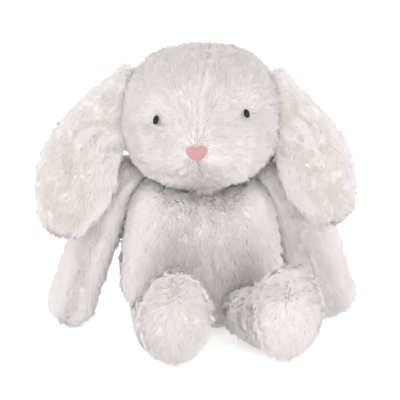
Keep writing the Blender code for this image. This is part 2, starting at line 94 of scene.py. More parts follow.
def addLamps():
    for name, (place, power, size) in studio["lamps"].items():
        lamp = bpy.data.lights.new(name, "AREA")
        lamp.energy = power
        lamp.size = size
        holder = bpy.data.objects.new(name, lamp)
        holder.location = place
        aim = Vector(view["aim"]) - Vector(place)
        holder.rotation_euler = aim.to_track_quat("-Z", "Y").to_euler()
        bpy.context.scene.collection.objects.link(holder)


class Wire:                         # a socket that node maths can be written with
    def __init__(self, tree, socket=None):
        self.tree = tree
        self.socket = socket

    def add(self, kind, settings=None, values=None, out=0):
        node = self.tree.nodes.new(kind)
        for name, value in (settings or {}).items():
            if name == "stops":
                while len(node.color_ramp.elements) < len(value):
                    node.color_ramp.elements.new(0.5)
                for stop, (at, colour) in zip(node.color_ramp.elements, value):
                    stop.position = at
                    stop.color = (*colour, 1.0)
            else:
                setattr(node, name, value)
        for key, value in (values or {}).items():
            if isinstance(value, Wire):
                self.tree.links.new(value.socket, node.inputs[key])
            else:
                node.inputs[key].default_value = value
        return Wire(self.tree, node.outputs[out])

    def other(self, name):          # another output of the same node
        return Wire(self.tree, self.socket.node.outputs[name])

    def maths(self, operation, first, second=0.0):
        return self.add("ShaderNodeMath", {"operation": operation}, {0: first, 1: second})

    def vectors(self, operation, first, second=(0.0, 0.0, 0.0)):
        return self.add("ShaderNodeVectorMath", {"operation": operation}, {0: first, 1: second})

    def scaled(self, vector, by):
        return self.add("ShaderNodeVectorMath", {"operation": "SCALE"}, {0: vector, "Scale": by})

    def __add__(self, other):
        return self.maths("ADD", self, other)

    def __radd__(self, other):
        return self.maths("ADD", other, self)

    def __sub__(self, other):
        return self.maths("SUBTRACT", self, other)

    def __rsub__(self, other):
        return self.maths("SUBTRACT", other, self)

    def __mul__(self, other):
        return self.maths("MULTIPLY", self, other)

    def __rmul__(self, other):
        return self.maths("MULTIPLY", other, self)


def addWorld():
    world = bpy.data.worlds.new("studio")
    world.use_nodes = True
    world.node_tree.nodes["Background"].inputs["Color"].default_value = (*studio["world"], 1.0)
    bpy.context.scene.world = world


def addFloor():
    half = studio["floorSize"] / 2
    corners = [(-half, -half, 0), (half, -half, 0), (half, half, 0), (-half, half, 0)]
    mesh = bpy.data.meshes.new("floor")
    mesh.from_pydata(corners, [], [(0, 1, 2, 3)])
    floor = bpy.data.objects.new("floor", mesh)
    bpy.context.scene.collection.objects.link(floor)
    material, _, shader = newMaterial("studio_floor", 0.9)
    shader.inputs["Base Color"].default_value = (*studio["floor"], 1.0)
    shader.inputs["Emission Color"].default_value = (1.0, 1.0, 1.0, 1.0)
    shader.inputs["Emission Strength"].default_value = studio["floorGlow"]
    mesh.materials.append(material)


def newMaterial(name, roughness, **constants):
    material = bpy.data.materials.new(name)
    material.use_nodes = True
    shader = material.node_tree.nodes["Principled BSDF"]
    shader.inputs["Roughness"].default_value = roughness
    for socket, value in constants.items():
        shader.inputs[socket.replace("_", " ")].default_value = value
    return material, Wire(material.node_tree), shader


def feed(wire, shader, socket):
    wire.tree.links.new(wire.socket, shader.inputs[socket])


pileLook = {
    "root": (0.80, 0.745, 0.665),   # painted shade deep between the tufts, also taken by whole blades at seams and where the pile is short
    "creamTip": (0.945, 0.900, 0.878),
    "whiteTip": (0.955, 0.920, 0.905),
    "pinkTip": (0.945, 0.882, 0.872),
    # how far along each blade the painted root shade reaches
    "rootReach": 0.32,
    "roughness": 0.95,
    "sheen": 0.15,
}


def makePileMaterial(name, tips):
    look = pileLook
    material, wire, shader = newMaterial(
        name, look["roughness"], Sheen_Weight=look["sheen"], Specular_IOR_Level=0.15)
    tint = wire.add("ShaderNodeAttribute", {"attribute_name": "tint"}, out="Fac")
    along = wire.add("ShaderNodeAttribute", {"attribute_name": "along"}, out="Fac")
    tip = wire.add("ShaderNodeValToRGB", {"stops": tips}, {"Fac": tint})
    # blades turn to the painted shade colour near their roots
    reach = wire.add("ShaderNodeMapRange", {"interpolation_type": "SMOOTHSTEP"},
                     {"Value": along, "From Min": 0.0, "From Max": look["rootReach"]})
    colour = wire.add("ShaderNodeMix", {"data_type": "RGBA"},
                      {0: reach, 6: (*look["root"], 1.0), 7: tip}, out=2)
    feed(colour, shader, "Base Color")
    return material


# knitted backing under the pile: the knit pattern is its own, its dark colour is painted shade for the
# depth of the coat
backingShadeLook = {
    "light": (0.62, 0.57, 0.49),
    "dark": (0.52, 0.47, 0.40),
    "knitScale": 900.0,
    "bump": 0.0004,
}


beanLook = {"light": (0.75, 0.76, 0.78), "dark": (0.60, 0.61, 0.64), "knitScale": 1400.0, "bump": 0.0002}


def makeClothMaterial(name, light, dark, scale, bump):
    material, wire, shader = newMaterial(name, 0.9, Sheen_Weight=0.2)
    place = wire.add("ShaderNodeTexCoord", out="Object")
    knit = wire.add("ShaderNodeTexVoronoi", None, {"Vector": place, "Scale": scale})
    patch = wire.add("ShaderNodeTexNoise", None, {"Vector": place, "Scale": scale / 12})
    amount = knit * 0.7 + patch * 0.5
    colour = wire.add("ShaderNodeMix", {"data_type": "RGBA"},
                      {0: amount, 6: (*light, 1.0), 7: (*dark, 1.0)}, out=2)
    feed(colour, shader, "Base Color")
    raised = wire.add("ShaderNodeBump", None, {"Strength": 0.6, "Distance": bump, "Height": 1 - knit})
    feed(raised, shader, "Normal")
    return material


def makeBeadMaterial():
    material, wire, shader = newMaterial("black_bead_gloss", 0.08, Specular_IOR_Level=0.18)
    place = wire.add("ShaderNodeTexCoord", out="Object")
    smears = wire.add("ShaderNodeTexNoise", None, {"Vector": place, "Scale": 700.0, "Detail": 3.0})
    colour = wire.add("ShaderNodeValToRGB",
                      {"stops": [(0.3, (0.006, 0.005, 0.005)), (0.8, (0.016, 0.013, 0.012))]},
                      {"Fac": smears})
    feed(colour, shader, "Base Color")
    feed(0.06 + smears * 0.10, shader, "Roughness")
    return material


threadLook = {
    "light": (0.52, 0.285, 0.305), "dark": (0.36, 0.175, 0.195),
    "mauveLight": (0.36, 0.25, 0.265), "mauveDark": (0.22, 0.15, 0.16),
}


def makeThreadMaterial(name, light, dark):
    material, wire, shader = newMaterial(name, 0.55, Sheen_Weight=0.3)
    place = wire.add("ShaderNodeTexCoord", out="Object")
    twist = wire.add("ShaderNodeTexNoise", None, {"Vector": place, "Scale": 2600.0, "Detail": 2.0})
    patch = wire.add("ShaderNodeTexNoise", None, {"Vector": place, "Scale": 350.0})
    colour = wire.add("ShaderNodeMix", {"data_type": "RGBA"},
                      {0: twist * 0.6 + patch * 0.4, 6: (*light, 1.0), 7: (*dark, 1.0)}, out=2)
    feed(colour, shader, "Base Color")
    raised = wire.add("ShaderNodeBump", None, {"Strength": 0.4, "Distance": 0.0002, "Height": twist})
    feed(raised, shader, "Normal")
    return material


def newTree(name, inputs):
    tree = bpy.data.node_groups.new(name, "GeometryNodeTree")
    tree.interface.new_socket("Geometry", in_out="OUTPUT", socket_type="NodeSocketGeometry")
    tree.interface.new_socket("Geometry", in_out="INPUT", socket_type="NodeSocketGeometry")
    for label, kind in inputs.items():
        tree.interface.new_socket(label, in_out="INPUT", socket_type="NodeSocket" + kind)
    given = tree.nodes.new("NodeGroupInput")
    return tree, {socket.name: Wire(tree, socket) for socket in given.outputs}


def finishTree(tree, result):
    end = tree.nodes.new("NodeGroupOutput")
    tree.links.new(result.socket, end.inputs[0])


def readAttribute(wire, name, kind="FLOAT"):
    return wire.add("GeometryNodeInputNamedAttribute", {"data_type": kind}, {"Name": name})


def makeFurTree():                  # grows a coat of closed tufts on a skin
    tree, given = newTree("fur coat", {
        "Density": "Float", "Length": "Float", "Width": "Float", "Lift": "Float",
        "Scatter": "Float", "Swirl": "Float", "Swirl Size": "Float", "Tuft Density": "Float",
        "Tuft Lean": "Float", "Gather": "Float", "Floor": "Float", "Seam Width": "Float",
        "Seam Pile": "Float", "Softness": "Float", "Seed": "Int",
        "Blade": "Object", "Material": "Material"})
    wire = Wire(tree)
    pile = readAttribute(wire, "pile")
    comb = readAttribute(wire, "comb", "FLOAT_VECTOR")
    # shorter pile along seams; through the open attribute it also darkens the blades there as painted shade
    seamPileAndShade = wire.add("ShaderNodeMapRange", {"interpolation_type": "SMOOTHSTEP"},
                      {"Value": readAttribute(wire, "seam"),
                       "From Min": 0.0, "From Max": given["Seam Width"],
                       "To Min": given["Seam Pile"], "To Max": 1.0})
    cover = wire.add("ShaderNodeMath", {"operation": "MULTIPLY", "use_clamp": True}, {0: pile, 1: 4.0})
    roots = wire.add("GeometryNodeDistributePointsOnFaces", None,
                     {"Mesh": given["Geometry"], "Density": given["Density"] * cover,
                      "Seed": given["Seed"]})
    normal = roots.other("Normal")
    tufts = wire.add("GeometryNodeDistributePointsOnFaces", None,
                     {"Mesh": given["Geometry"], "Density": given["Tuft Density"],
                      "Seed": given["Seed"] + 50.0})
    place = wire.add("GeometryNodeInputPosition")
    nearest = wire.add("GeometryNodeSampleNearest", {"domain": "POINT"},
                       {"Geometry": tufts, "Sample Position": place})
    centre = wire.add("GeometryNodeSampleIndex", {"data_type": "FLOAT_VECTOR", "domain": "POINT"},
                      {"Geometry": tufts, "Value": place, "Index": nearest})
    tuftRandom = wire.add("FunctionNodeRandomValue", {"data_type": "FLOAT_VECTOR"},
                          {0: (-1.0, -1.0, -1.0), 1: (1.0, 1.0, 1.0), "ID": nearest,
                           "Seed": given["Seed"]})
    tuftSize = wire.add("FunctionNodeRandomValue", {"data_type": "FLOAT"},
                        {2: 0.82, 3: 1.18, "ID": nearest, "Seed": given["Seed"] + 7.0}, out=1)
    tuftTone = wire.add("FunctionNodeRandomValue", {"data_type": "FLOAT"},
                        {2: 0.0, 3: 1.0, "ID": nearest, "Seed": given["Seed"] + 9.0}, out=1)
    own = wire.add("FunctionNodeRandomValue", {"data_type": "FLOAT_VECTOR"},
                   {0: (-1.0, -1.0, -1.0), 1: (1.0, 1.0, 1.0), "Seed": given["Seed"] + 1.0})
    ownSize = wire.add("FunctionNodeRandomValue", {"data_type": "FLOAT"},
                       {2: 0.65, 3: 1.15, "Seed": given["Seed"] + 2.0}, out=1)
    ownTone = wire.add("FunctionNodeRandomValue", {"data_type": "FLOAT"},
                       {2: 0.0, 3: 1.0, "Seed": given["Seed"] + 3.0}, out=1)
    drift = wire.add("ShaderNodeTexNoise", None,
                     {"Vector": place, "Scale": given["Swirl Size"], "Detail": 1.0}, out="Color")
    drift = wire.vectors("SUBTRACT", drift, (0.5, 0.5, 0.5))
    lean = wire.vectors("ADD", comb, wire.scaled(normal, given["Lift"]))
    lean = wire.vectors("ADD", lean, wire.scaled(drift, given["Swirl"] * 2.0))
    lean = wire.vectors("ADD", lean, wire.scaled(tuftRandom, given["Tuft Lean"]))
    lean = wire.vectors("ADD", lean, wire.scaled(own, given["Scatter"]))
    lean = wire.vectors("NORMALIZE", lean)
    length = given["Length"] * pile * seamPileAndShade * tuftSize * ownSize
    gather = wire.scaled(wire.vectors("SUBTRACT", centre, place), given["Gather"])
    reach = wire.vectors("ADD", wire.scaled(lean, length), gather)
    facing = wire.add("FunctionNodeAlignRotationToVector", {"axis": "Y"}, {"Vector": reach})
    facing = wire.add("FunctionNodeAlignRotationToVector", {"axis": "Z", "pivot_axis": "Y"},
                      {"Rotation": facing, "Vector": normal})
    size = wire.add("ShaderNodeCombineXYZ", None,
                    {"X": given["Width"] * ownSize, "Y": length, "Z": length})
    broad = wire.add("ShaderNodeTexNoise", None, {"Vector": place, "Scale": 28.0, "Detail": 2.0})
    tone = wire.add("ShaderNodeMath", {"operation": "ADD", "use_clamp": True},
                    {0: (broad - 0.5) * 1.1 + 0.5, 1: (tuftTone - 0.5) * 0.35 + (ownTone - 0.5) * 0.35})
    roots = wire.add("GeometryNodeStoreNamedAttribute", {"data_type": "FLOAT", "domain": "POINT"},
                     {"Geometry": roots, "Name": "tint", "Value": tone})
    # short pile takes more of the painted root shade, standing in for the self-shadow of a deep coat
    pileShadeFactor = wire.add("ShaderNodeMapRange", {"interpolation_type": "SMOOTHSTEP"},
                     {"Value": pile, "From Min": 0.1, "From Max": 0.9, "To Min": 0.28, "To Max": 1.0})
    # open: 1 keeps the blade's tip colour, lower values pull the whole blade to the painted root shade
    roots = wire.add("GeometryNodeStoreNamedAttribute", {"data_type": "FLOAT", "domain": "POINT"},
                     {"Geometry": roots, "Name": "open", "Value": seamPileAndShade * pileShadeFactor})
    shade = wire.vectors("NORMALIZE", wire.vectors(
        "ADD", wire.scaled(normal, given["Softness"]), wire.scaled(lean, 1 - given["Softness"])))
    roots = wire.add("GeometryNodeStoreNamedAttribute", {"data_type": "FLOAT_VECTOR", "domain": "POINT"},
                     {"Geometry": roots, "Name": "facing", "Value": shade})
    tuft = wire.add("GeometryNodeObjectInfo", None, {"Object": given["Blade"]}, out="Geometry")
    coat = wire.add("GeometryNodeInstanceOnPoints", None,
                    {"Points": roots, "Instance": tuft, "Rotation": facing, "Scale": size})
    coat = wire.add("GeometryNodeRealizeInstances", None, {"Geometry": coat})
    split = wire.add("ShaderNodeSeparateXYZ", None, {"Vector": place}, out="Z")
    held = wire.add("ShaderNodeCombineXYZ", None,
                    {"X": split.other("X"), "Y": split.other("Y"),
                     "Z": wire.maths("MAXIMUM", split, given["Floor"])})
    coat = wire.add("GeometryNodeSetPosition", None, {"Geometry": coat, "Position": held})
    across = readAttribute(wire, "tint") * 0.94 + readAttribute(wire, "aside") * 0.03 + 0.03
    # along is pulled towards the root where open is low, so seams and short pile show painted shade
    alongWithPaintedShade = readAttribute(wire, "along") * readAttribute(wire, "open")
    coat = wire.add("GeometryNodeStoreNamedAttribute", {"data_type": "FLOAT", "domain": "POINT"},
                    {"Geometry": coat, "Name": "along", "Value": alongWithPaintedShade})
    spot = wire.add("ShaderNodeCombineXYZ", None,
                    {"X": across, "Y": readAttribute(wire, "along") * 0.96 + 0.02})
    coat = wire.add("GeometryNodeStoreNamedAttribute", {"data_type": "FLOAT2", "domain": "CORNER"},
                    {"Geometry": coat, "Name": "OFBake", "Value": spot})
    coat = wire.add("GeometryNodeSetShadeSmooth", None, {"Geometry": coat, "Shade Smooth": True})
    coat = wire.add("GeometryNodeSetMeshNormal", {"mode": "FREE", "domain": "POINT"},
                    {"Mesh": coat, "Custom Normal": readAttribute(wire, "facing", "FLOAT_VECTOR")})
    coat = wire.add("GeometryNodeSetMaterial", None, {"Geometry": coat, "Material": given["Material"]})
    finishTree(tree, coat)
    return tree


def makeBlade():                    # one tuft: ridged, closed, four faces
    mesh = bpy.data.meshes.new("blade")
    corners = [(-0.5, 0.0, 0.0), (0.5, 0.0, 0.0), (0.0, 0.45, 0.09), (0.0, 1.0, -0.07)]
    mesh.from_pydata(corners, [], [(0, 1, 2), (0, 2, 3), (2, 1, 3), (1, 0, 3)])
    for name, values in (("along", (0.0, 0.0, 0.45, 1.0)), ("aside", (-0.5, 0.5, 0.0, 0.0))):
        mesh.attributes.new(name, "FLOAT", "POINT").data.foreach_set("value", values)
    holder = bpy.data.objects.new("blade", mesh)
    bpy.context.scene.collection.objects.link(holder)
    return holder


def applied(name, source, tree, values):    # source through the tree, as a plain mesh object
    modifier = source.modifiers.new(name, "NODES")
    modifier.node_group = tree
    for item in tree.interface.items_tree:
        if item.in_out == "INPUT" and item.name in values:
            modifier[item.identifier] = values[item.name]
    evaluated = source.evaluated_get(bpy.context.evaluated_depsgraph_get())
    mesh = bpy.data.meshes.new_from_object(evaluated)
    source.modifiers.remove(modifier)
    mesh.name = name
    made = bpy.data.objects.new(name, mesh)
    bpy.context.scene.collection.objects.link(made)
    return made


coatDefaults = {
    "Density": 2.8e6,               # blades to a square metre
    "Length": 0.0066,
    "Width": 0.00048,
    "Lift": 0.50,
    "Scatter": 0.20,
    "Swirl": 0.50,
    "Swirl Size": 75.0,
    "Tuft Density": 1.6e5,
    "Tuft Lean": 0.26,
    "Gather": 0.35,
    "Floor": 0.0004,
    "Seam Width": 0.0016,
    "Seam Pile": 0.75,
    "Softness": 0.62,               # how far the pile is shaded like the skin under it
    "Seed": 1,
}


def unit(vectors):
    return vectors / np.maximum(np.linalg.norm(vectors, axis=-1, keepdims=True), 1e-9)


def quadBall(cuts):                 # unit directions and quads, with no poles
    bm = bmesh.new()
    bmesh.ops.create_cube(bm, size=2.0)
    bmesh.ops.subdivide_edges(bm, edges=bm.edges[:], cuts=cuts, use_grid_fill=True)
    bm.verts.index_update()
    points = np.array([vertex.co for vertex in bm.verts])
    faces = np.array([[vertex.index for vertex in face.verts] for face in bm.faces])
    bm.free()
    return unit(np.tan(points * math.pi / 4)), faces


def squared(directions, power):
    return directions / (np.abs(directions) ** power).sum(1, keepdims=True) ** (1 / power)


def faceNormals(points, faces):
    a, b, c, d = (points[faces[:, i]] for i in range(4))
    return np.cross(c - a, d - b) / 2


def vertexNormals(points, faces):
    total = np.zeros_like(points)
    for i in range(4):
        np.add.at(total, faces[:, i], faceNormals(points, faces))
    return unit(total)


def outward(points, faces):         # faces turned so that they look out of the form
    volume = (faceNormals(points, faces) * points[faces].mean(1)).sum()
    return faces if volume > 0 else faces[:, ::-1]


def turn(x, y, z):                  # degrees
    return np.array(Euler([math.radians(angle) for angle in (x, y, z)]).to_matrix())


def bell(distance, width):
    return np.exp(-(distance / width) ** 2)


def smoothStep(value, low, high):
    t = np.clip((value - low) / (high - low), 0.0, 1.0)
    return t * t * (3 - 2 * t)


def boxOf(*nodes):
    corners = [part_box(node) for node in nodes]
    return (np.min([low for low, high in corners], axis=0), np.max([high for low, high in corners], axis=0))


def smoothLine(points, share):      # places on a smooth curve through evenly spaced stations
    points = np.asarray(points, float)
    points = points[:, None] if points.ndim == 1 else points
    spans = len(points) - 1
    index = np.clip((share * spans).astype(int), 0, spans - 1)
    t = (share * spans - index)[:, None]
    a, b = points[np.maximum(index - 1, 0)], points[index]
    c, d = points[index + 1], points[np.minimum(index + 2, spans)]
    return 0.5 * (2 * b + (c - a) * t + (2 * a - 5 * b + 4 * c - d) * t ** 2
                  + (3 * b - a - 3 * c + d) * t ** 3)


def sweptForm(ball, line, widths, depths, rootCap, tipCap, acrossAxis=None):
    # oval sections along a line with round ends; acrossAxis fixes the width's direction
    stations = np.asarray(line, float)
    bodyLength = np.linalg.norm(np.diff(stations, axis=0), axis=1).sum()
    quarter = 1.57                  # arc of a round end, in radii
    total = rootCap * quarter + bodyLength + tipCap * quarter
    low, high = rootCap * quarter / total, 1 - tipCap * quarter / total
    u = 1 - np.arccos(np.clip(ball[:, 2], -1, 1)) / math.pi
    around = np.arctan2(ball[:, 1], ball[:, 0])
    share = np.clip((u - low) / (high - low), 0, 1)
    centre = smoothLine(stations, share)
    ahead = smoothLine(stations, np.minimum(share + 0.02, 1))
    behind = smoothLine(stations, np.maximum(share - 0.02, 0))
    tangent = unit(ahead - behind)
    rootAngle = np.clip(u / low, 0, 1) * math.pi / 2
    tipAngle = np.clip((1 - u) / (1 - high), 0, 1) * math.pi / 2
    scale = np.sin(rootAngle) * np.sin(tipAngle)
    centre = centre - tangent * (rootCap * np.cos(rootAngle))[:, None]
    centre = centre + tangent * (tipCap * np.cos(tipAngle))[:, None]
    if acrossAxis is None:
        deep = np.array([0.0, 1.0, 0.0]) - tangent * tangent[:, 1:2]
        deep = unit(deep)
        wide = np.cross(deep, tangent)
    else:
        wide = np.tile(acrossAxis, (len(ball), 1))
        deep = np.tile(np.array([0.0, 0.0, 1.0]), (len(ball), 1))
    across = np.cos(around) * smoothLine(widths, share)[:, 0] * scale
    through = np.sin(around) * smoothLine(depths, share)[:, 0] * scale
    return centre + wide * across[:, None] + deep * through[:, None], tangent, share, across, through


def newSkin(name, points, faces, material):
    mesh = bpy.data.meshes.new(name)
    mesh.from_pydata(points.tolist(), [], faces.tolist())
    mesh.shade_smooth()
    mesh.materials.append(material)
    skin = bpy.data.objects.new(name, mesh)
    bpy.context.scene.collection.objects.link(skin)
    return skin


def addFields(mesh, comb, pile, seam):
    field = mesh.attributes.new("comb", "FLOAT_VECTOR", "POINT")
    field.data.foreach_set("vector", comb.astype(np.float32).ravel())
    for name, values in (("pile", pile), ("seam", seam)):
        mesh.attributes.new(name, "FLOAT", "POINT").data.foreach_set("value", values.astype(np.float32))


def lineDistance(flat, line):       # how far points of a plane are from a line of points
    nearest = np.full(len(flat), 1.0)
    for first, second in zip(np.array(line[:-1], float), np.array(line[1:], float)):
        span = second - first
        share = np.clip((flat - first) @ span / (span @ span), 0, 1)
        nearest = np.minimum(nearest, np.linalg.norm(flat - first - share[:, None] * span, axis=1))
    return nearest


def carry(piece, body):             # rides on one body; with more than one given, it is only fixed where it stands
    if isinstance(body, str):
        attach(piece, body)
    else:
        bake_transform(piece)


def growCoat(name, points, faces, comb, pile, seam, material, body, changes):
    mesh = bpy.data.meshes.new(name)
    mesh.from_pydata(points.tolist(), [], faces.tolist())
    addFields(mesh, comb, pile, seam)
    source = bpy.data.objects.new(name + "_source", mesh)
    bpy.context.scene.collection.objects.link(source)
    values = {**coatDefaults, **changes, "Blade": blade, "Material": material}
    coat = applied(name, source, furTree, values)
    bpy.data.objects.remove(source)
    carry(coat, body)
    print(name, len(coat.data.polygons), "faces")
    return coat


def combed(direction, normals):     # a direction laid along the skin
    flat = direction - normals * (direction * normals).sum(1, keepdims=True)
    return flat / np.maximum(np.linalg.norm(flat, axis=1, keepdims=True), 0.35)


def dress(name, form, body, nodes, tips, split=None, changes=None):
    # a skin with its coat; split cuts the coat in a front and a back piece
    points, faces, comb, pile, seam = form
    skin = newSkin(name + "_skin", points, faces, shadedBacking)
    carry(skin, body)
    stuffed = [] if name.startswith(("ear", "neck")) else [f"{name}_stuffing"]
    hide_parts(*nodes, *stuffed)
    middle = points[faces].mean(1)
    parts = {"": np.ones(len(faces), bool)}
    if split is not None:
        parts = {"_front": middle[:, 1] < split, "_back": middle[:, 1] >= split}
    for label, wanted in parts.items():
        growCoat(f"{name}_fur{label}", points, faces[wanted], comb, pile, seam,
                 tips, body, changes or {})


head = {
    "inset": 0.0046,
    "halfDepth": 0.054,
    "squareness": 2.45,
    "turn": (0.0, -4.0, -4.0),
    "muzzleBulge": 0.006,
    "muzzleSpread": 0.024,
    "muzzleDrop": 0.0145,
    "eyeHollow": 0.0026,
    "eyeHollowWidth": 0.0080,
    "seamDepth": 0.0010,
    "crownSeam": ((0.012, 0.058), (0.0095, 0.045), (0.004, 0.025), (0.0015, 0.004), (0.0, -0.006)),
    "darts": {"left": ((-0.0410, 0.0435), (-0.0355, 0.0340), (-0.0290, 0.0180)),
              "right": ((0.0453, 0.0435), (0.0430, 0.0340), (0.0388, 0.0180))},
    "cuts": 47,
    "coat": {"Seed": 3, "Density": 2.5e6},
}


def makeHead():
    nodes = ["face_left", "face_right", "head_back_left", "head_back_right"]
    low, high = boxOf(*nodes)
    centre = np.array([(low[0] + high[0]) / 2, high[1] - head["halfDepth"], (low[2] + high[2]) / 2])
    halves = np.array([(high[0] - low[0]) / 2, head["halfDepth"], (high[2] - low[2]) / 2]) - head["inset"]
    rotation = turn(*head["turn"])
    ball, faces = quadBall(head["cuts"])
    p = squared(ball, head["squareness"])
    local = p * halves
    front = smoothStep(-p[:, 1], 0.0, 0.5)
    muzzle = np.hypot(local[:, 0], local[:, 2] + head["muzzleDrop"])
    local[:, 1] -= head["muzzleBulge"] * bell(muzzle, head["muzzleSpread"]) * front
    eyes = {}
    for side in sides:
        eyeLow, eyeHigh = boxOf(f"eye_{side}")
        middle = (eyeLow + eyeHigh) / 2
        eyes[side] = (np.array([middle[0], eyeLow[1], middle[2]]) - centre) @ rotation
    noseLow, noseHigh = boxOf("nose")
    nosePlace = ((noseLow + noseHigh) / 2 - centre) @ rotation
    flat = local[:, [0, 2]]
    crown = lineDistance(flat, head["crownSeam"])
    seam = np.where(p[:, 1] < 0.35, crown, 0.05)
    for side, eyePlace in eyes.items():
        away = np.hypot(local[:, 0] - eyePlace[0], local[:, 2] - eyePlace[2])
        local[:, 1] += head["eyeHollow"] * bell(away, head["eyeHollowWidth"]) * front
        dart = lineDistance(flat, (*head["darts"][side], (eyePlace[0], eyePlace[2] + 0.002)))
        seam = np.minimum(seam, np.where(p[:, 1] < 0.1, dart, 0.05))
    faces = outward(local, faces)
    normals = vertexNormals(local, faces)
    local -= normals * (head["seamDepth"] * bell(seam, 0.0025))[:, None]
    radial = unit(local - nosePlace)
    down = np.array([0.0, 0.0, -1.0])
    topness = smoothStep(local[:, 2], 0.0, 0.04)
    comb = radial + down * ((0.45 - 0.5 * topness) * (1 - 0.6 * front))[:, None]
    comb += np.array([0.0, 0.8, 0.0]) * ((1 - front) * topness)[:, None]
    comb = combed(comb, normals)
    pile = np.full(len(local), 1.0)
    above = local[:, 2] - nosePlace[2]
    noseAway = np.hypot(local[:, 0] - nosePlace[0], above * np.where(above < 0, 1.5, 1.0))
    pile *= 1 - 0.12 * bell(noseAway, 0.012) * front
    inNose = (np.abs(local[:, 0] - nosePlace[0]) < 0.0070) & (np.abs(above) < 0.0045)
    pile[inNose & (front > 0.5)] = 0.0
    # shorter pile round the eyes, which the fur tree also darkens as painted shade
    for eyePlace in eyes.values():
        away = np.hypot((local[:, 0] - eyePlace[0]) * 1.35, local[:, 2] - eyePlace[2])
        pile = np.where(front > 0.5, pile * (0.40 + 0.60 * smoothStep(away, 0.0015, 0.0045)), pile)
    points = local @ rotation.T + centre
    form = points, faces, comb @ rotation.T, pile, seam
    dress("head", form, "head", nodes, creamPile, centre[1] + 0.004, head["coat"])
    return rotation


torso = {
    "inset": 0.0046,
    "squareness": 2.55,
    "turn": (0.0, 0.0, 6.0),
    "waist": 0.048,
    "drop": 0.056,
    "shoulderSquareness": 3.5,
    "shoulderSwell": 0.05,
    "shoulderRise": 0.0105,         # of the corners under the cheeks
    "shoulderAt": 0.040,
    "hipSwell": 0.05,
    "hipHeight": 0.032,
    "seamDepth": 0.0010,
    "chestSeam": ((0.0, 0.110), (0.001, 0.085), (0.003, 0.060), (0.005, 0.030)),
    "cuts": 47,
    "coat": {"Seed": 5, "Tuft Lean": 0.34, "Scatter": 0.24, "Density": 2.25e6},
}


def makeTorso():
    nodes = ["torso_front_left", "torso_front_right", "torso_back_left", "torso_back_right", "seat_panel"]
    low, high = boxOf(*nodes)
    centre = np.array([(low[0] + high[0]) / 2, (low[1] + high[1]) / 2, 0.0])
    inset = torso["inset"]
    halfWide, halfDeep = (high[0] - low[0]) / 2 - inset, (high[1] - low[1]) / 2 - inset
    rise = high[2] - torso["waist"] - inset
    ball, faces = quadBall(torso["cuts"])
    around = squared(ball * (1.0, 1.0, 1e-6), torso["squareness"])
    side = np.stack([np.hypot(ball[:, 0], ball[:, 1]), np.zeros(len(ball)), ball[:, 2]], 1)
    rising = ball[:, 2:] > 0
    level = np.where(rising, squared(side, torso["shoulderSquareness"]), squared(side, torso["squareness"]))
    p = np.stack([around[:, 0] * level[:, 0], around[:, 1] * level[:, 0], level[:, 2]], 1)
    height = torso["waist"] + p[:, 2] * np.where(p[:, 2] > 0, rise, torso["drop"] - inset)
    ground = inset * 0.7
    settled = ground + 0.004 * np.exp((height - ground - 0.004) / 0.004)
    height = np.where(height < ground + 0.004, settled, height)
    local = np.stack([p[:, 0] * halfWide, p[:, 1] * halfDeep, height], 1)
    local[:, 0] *= 1 + torso["hipSwell"] * bell(height - torso["hipHeight"], 0.020)
    local[:, 0] *= 1 + torso["shoulderSwell"] * smoothStep(height, 0.075, 0.100)
    corner = bell(np.abs(local[:, 0]) - torso["shoulderAt"], 0.020)
    local[:, 2] += torso["shoulderRise"] * corner * smoothStep(height, 0.072, 0.102)
    faces = outward(local, faces)
    normals = vertexNormals(local, faces)
    rotation = turn(*torso["turn"])
    seam = np.where(p[:, 1] < 0, lineDistance(local[:, [0, 2]], torso["chestSeam"]), 0.05)
    local -= normals * (torso["seamDepth"] * bell(seam, 0.0025))[:, None]
    front = smoothStep(-p[:, 1], 0.0, 0.4)
    comb = np.tile([0.0, 0.0, -1.0], (len(local), 1))
    comb[:, 0] += np.sign(local[:, 0]) * (0.12 - 0.35 * bell(local[:, 0], 0.005)) * front
    under = smoothStep(-normals[:, 2], 0.3, 0.9)
    outwards = unit(np.stack([local[:, 0], local[:, 1], np.zeros(len(local))], 1))
    comb = comb * (1 - under)[:, None] + outwards * under[:, None]
    comb = combed(comb, normals)
    # shorter pile underneath, which the fur tree also darkens as painted shade
    pile = 1.0 - 0.72 * under
    form = local @ rotation.T + centre, faces, comb @ rotation.T, pile, seam
    dress("torso", form, "torso", nodes, creamPile, centre[1], torso["coat"])


